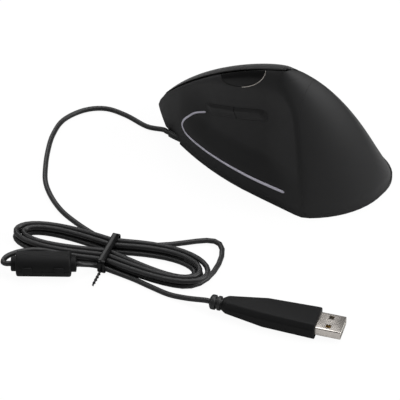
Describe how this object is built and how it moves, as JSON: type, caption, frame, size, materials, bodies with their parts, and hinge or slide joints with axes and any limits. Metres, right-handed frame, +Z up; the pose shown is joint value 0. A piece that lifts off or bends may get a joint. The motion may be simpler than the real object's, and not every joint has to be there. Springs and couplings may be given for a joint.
{
  "type": "vertical computer mouse",
  "caption": "Wired vertical mouse for the right hand: leaning thumb wall with side keys and half-moon key, sprung main keys, scroll wheel, cord in a tied hank with ferrite and USB plug.",
  "frame": {"origin": "centre of the body's outline on the desk, cord left out", "axes": "+X to the finger side, +Y to the nose where the cord leaves, +Z up from the desk"},
  "size_m": [0.1886, 0.2116, 0.0748],
  "materials": {
    "shell_black": "satin black moulded plastic with a fine grain",
    "case_black": "semi-matt black moulding",
    "gloss_black": "polished black plastic",
    "accent_silver": "pale silver painted trim",
    "rubber_black": "soft black rubber and cord jacket",
    "natural_plastic": "natural white plastic",
    "glide_pad": "smooth slippery pad",
    "board_green": "solder-masked board",
    "chip_black": "moulded electronic body",
    "clear_plastic": "clear moulded lens",
    "lamp_red": "red lamp",
    "screw_steel": "plated steel",
    "ferrite_grey": "sintered ferrite",
    "contact_gold": "plated contacts"
  },
  "bodies": {
    "case": {"base_plate": "shell_black", "thumb_cover": "shell_black", "palm_cover": "shell_black", "accent_strip": "accent_silver", "yoke_posts": "natural_plastic", "inner_frame": "natural_plastic", "button_board": "board_green", "left_switch": "chip_black", "right_switch": "chip_black", "middle_switch": "chip_black", "beam_emitter": "clear_plastic", "beam_detector": "chip_black", "thumb_board": "board_green", "thumb_switches": "chip_black", "dpi_board": "board_green", "dpi_switch": "chip_black", "main_board": "board_green", "controller_chip": "chip_black", "sensor_chip": "chip_black", "sensor_lens": "clear_plastic", "sensor_lamp": "lamp_red", "cable_header": "natural_plastic", "glide_feet": "glide_pad", "case_screws": "screw_steel", "board_screws": "screw_steel", "cord_grommet": "rubber_black", "cord_inner": "rubber_black", "cord_lead": "rubber_black", "cord_hank": "rubber_black", "cord_bight": "rubber_black", "cord_tail": "rubber_black", "twist_tie": "gloss_black", "ferrite_upper": "case_black", "ferrite_lower": "case_black", "ferrite_core": "ferrite_grey", "plug_grip": "case_black", "plug_relief": "rubber_black", "plug_shell": "screw_steel", "plug_tongue": "natural_plastic", "plug_contacts": "contact_gold"},
    "left_key": {"left_button": "shell_black"},
    "right_key": {"right_button": "shell_black"},
    "yoke": {"wheel_yoke": "natural_plastic"},
    "wheel": {"wheel_hub": "shell_black", "wheel_tyre": "rubber_black"},
    "dpi_key": {"dpi_button": "gloss_black"},
    "forward_key": {"forward_button": "shell_black"},
    "back_key": {"back_button": "shell_black"}
  },
  "joints": [
    {"name": "left_click", "type": "hinge", "parent": "case", "child": "left_key", "pos_m": [0.0196, -0.00864, 0.02689], "axis": [-0.5749, -0.2778, 0.7696], "range_deg": [0, 0.4], "stiffness_Nm_per_rad": 4, "springref_deg": -0.34},
    {"name": "right_click", "type": "hinge", "parent": "case", "child": "right_key", "pos_m": [0.0196, -0.00864, 0.02689], "axis": [-0.5749, -0.2778, 0.7696], "range_deg": [0, 0.4], "stiffness_Nm_per_rad": 4, "springref_deg": -0.34},
    {"name": "wheel_press", "type": "hinge", "parent": "case", "child": "yoke", "pos_m": [0.01121, 0.00785, 0.02657], "axis": [-0.5749, -0.2778, 0.7696], "range_deg": [0, 1.5], "stiffness_Nm_per_rad": 2, "springref_deg": -0.57},
    {"name": "wheel_spin", "type": "hinge", "parent": "yoke", "child": "wheel", "pos_m": [0.00381, 0.02315, 0.02657], "axis": [0.5749, 0.2778, -0.7696], "continuous": true},
    {"name": "dpi_press", "type": "slide", "parent": "case", "child": "dpi_key", "axis": [1, 0, 0], "range_m": [0, 0.0006], "stiffness_N_per_m": 1500, "springref_m": -0.0003},
    {"name": "forward_press", "type": "slide", "parent": "case", "child": "forward_key", "axis": [1, 0, 0], "range_m": [0, 0.0006], "stiffness_N_per_m": 1500, "springref_m": -0.0003},
    {"name": "back_press", "type": "slide", "parent": "case", "child": "back_key", "axis": [1, 0, 0], "range_m": [0, 0.0006], "stiffness_N_per_m": 1500, "springref_m": -0.0003}
  ]
}
